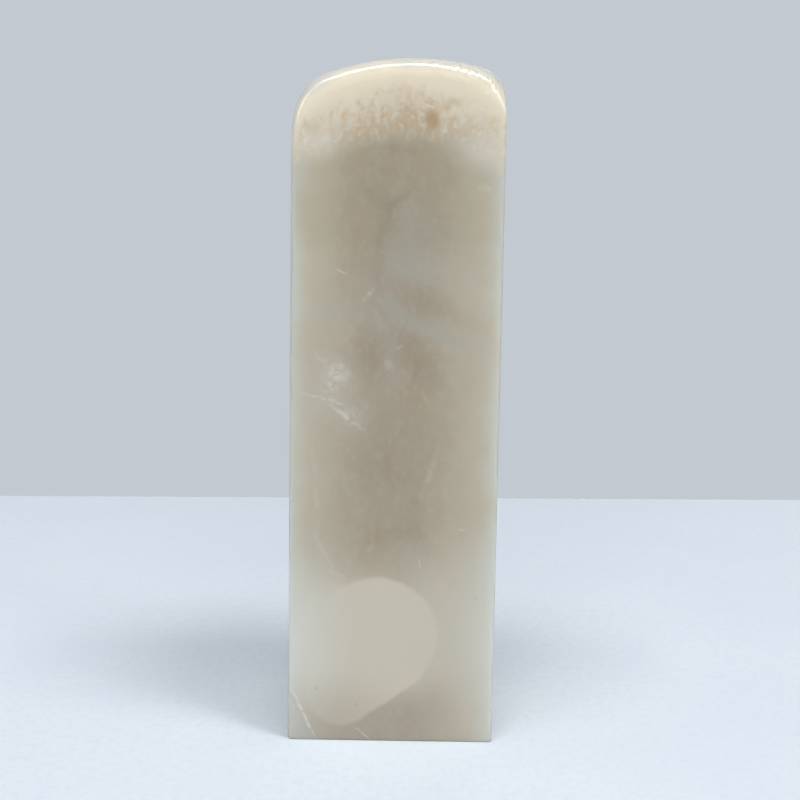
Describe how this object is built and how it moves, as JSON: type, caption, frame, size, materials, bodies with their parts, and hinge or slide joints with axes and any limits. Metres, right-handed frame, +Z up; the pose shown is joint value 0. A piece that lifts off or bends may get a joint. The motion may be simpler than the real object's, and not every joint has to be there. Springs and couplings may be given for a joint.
{
  "type": "seal stamp",
  "caption": "Square column of polished carving stone with a flat blank stamping face at the bottom and a hand-rounded top, used as a hand seal.",
  "frame": {"origin": "centre of the stamping face at the bottom of the column", "axes": "+Z up along the column, +X to the right of somebody who looks at the front face, and the front face looks along -Y"},
  "size_m": [0.025, 0.025, 0.0824],
  "materials": {
    "seal_stone": "hand-polished translucent pyrophyllite stone"
  },
  "bodies": {
    "root": {"seal_stone": "seal_stone"}
  },
  "joints": []
}
